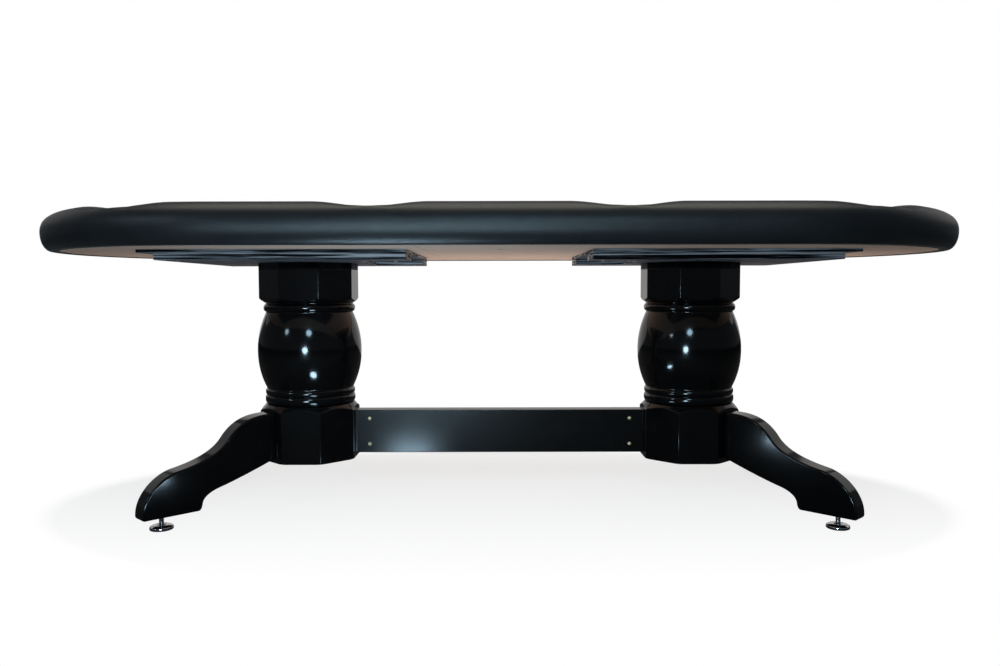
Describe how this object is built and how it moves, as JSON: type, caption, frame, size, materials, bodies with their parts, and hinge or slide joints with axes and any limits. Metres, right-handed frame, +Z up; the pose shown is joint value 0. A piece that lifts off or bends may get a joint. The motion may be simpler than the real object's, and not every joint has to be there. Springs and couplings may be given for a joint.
{
  "type": "gaming table",
  "caption": "Oval gaming table with a padded vinyl rail, cup holders, cloth playfield, twin turned pedestals, splayed legs, stretcher beam and levelling feet.",
  "frame": {"origin": "centre of the footprint on the floor", "axes": "+X along the table, +Y towards its rear long side, +Z up"},
  "size_m": [2.3896, 1.114, 0.7775],
  "materials": {
    "vinyl": "black satin upholstery vinyl with a fine grain",
    "plywood": "bare light plywood, slightly pink",
    "black_ply": "black stained plywood with paler plies at the edges",
    "lacquer": "deep black gloss lacquer",
    "foam": "upholstery foam",
    "cloth": "napped green gaming cloth",
    "steel_cups": "brushed stainless steel",
    "chrome": "polished chrome",
    "fasteners": "zinc plated steel"
  },
  "bodies": {
    "table": {"base_panel_left": "plywood", "base_panel_centre": "plywood", "base_panel_right": "plywood", "rail_board": "plywood", "rail_edge_strip": "plywood", "rail_foam_front": "foam", "rail_foam_rear": "foam", "rail_foam_left": "foam", "rail_foam_right": "foam", "rail_cover": "vinyl", "playfield_board": "plywood", "playfield_foam": "foam", "playfield_cloth": "cloth", "cup_holder_1": "steel_cups", "cup_holder_2": "steel_cups", "cup_holder_3": "steel_cups", "cup_holder_4": "steel_cups", "cup_holder_5": "steel_cups", "cup_holder_6": "steel_cups", "cup_holder_7": "steel_cups", "cup_holder_8": "steel_cups", "cup_holder_9": "steel_cups", "cup_holder_10": "steel_cups", "mounting_plate_left": "black_ply", "mounting_plate_right": "black_ply", "cross_board_front_left": "black_ply", "cross_board_centre_left": "black_ply", "cross_board_rear_left": "black_ply", "cross_board_front_right": "black_ply", "cross_board_centre_right": "black_ply", "cross_board_rear_right": "black_ply", "upper_block_left": "lacquer", "upper_block_right": "lacquer", "turned_column_left": "lacquer", "turned_column_right": "lacquer", "lower_block_left": "lacquer", "lower_block_right": "lacquer", "tie_rod_left": "fasteners", "tie_rod_right": "fasteners", "stretcher": "lacquer", "stretcher_tenon_left": "plywood", "stretcher_tenon_right": "plywood", "leg_front_left": "lacquer", "leg_front_right": "lacquer", "leg_rear_left": "lacquer", "leg_rear_right": "lacquer", "leveller_inserts": "fasteners", "leg_bolts": "fasteners", "stretcher_screws": "fasteners", "board_screws": "fasteners", "base_screws": "fasteners"},
    "foot_front_left": {"leveller_stem_front_left": "chrome"},
    "pad_front_left": {"leveller_pad_front_left": "chrome"},
    "foot_front_right": {"leveller_stem_front_right": "chrome"},
    "pad_front_right": {"leveller_pad_front_right": "chrome"},
    "foot_rear_left": {"leveller_stem_rear_left": "chrome"},
    "pad_rear_left": {"leveller_pad_rear_left": "chrome"},
    "foot_rear_right": {"leveller_stem_rear_right": "chrome"},
    "pad_rear_right": {"leveller_pad_rear_right": "chrome"}
  },
  "joints": [
    {"name": "foot_height_front_left", "type": "slide", "parent": "table", "child": "foot_front_left", "axis": [0, 0, 1], "range_m": [-0.02, 0.018]},
    {"name": "pad_swivel_front_left", "type": "hinge", "parent": "foot_front_left", "child": "pad_front_left", "pos_m": [-0.82993, -0.30194, 0.006], "axis": [0, 0, 1], "continuous": true},
    {"name": "foot_height_front_right", "type": "slide", "parent": "table", "child": "foot_front_right", "axis": [0, 0, 1], "range_m": [-0.02, 0.018]},
    {"name": "pad_swivel_front_right", "type": "hinge", "parent": "foot_front_right", "child": "pad_front_right", "pos_m": [0.82993, -0.30194, 0.006], "axis": [0, 0, 1], "continuous": true},
    {"name": "foot_height_rear_left", "type": "slide", "parent": "table", "child": "foot_rear_left", "axis": [0, 0, 1], "range_m": [-0.02, 0.018]},
    {"name": "pad_swivel_rear_left", "type": "hinge", "parent": "foot_rear_left", "child": "pad_rear_left", "pos_m": [-0.82993, 0.30194, 0.006], "axis": [0, 0, 1], "continuous": true},
    {"name": "foot_height_rear_right", "type": "slide", "parent": "table", "child": "foot_rear_right", "axis": [0, 0, 1], "range_m": [-0.02, 0.018]},
    {"name": "pad_swivel_rear_right", "type": "hinge", "parent": "foot_rear_right", "child": "pad_rear_right", "pos_m": [0.82993, 0.30194, 0.006], "axis": [0, 0, 1], "continuous": true}
  ]
}
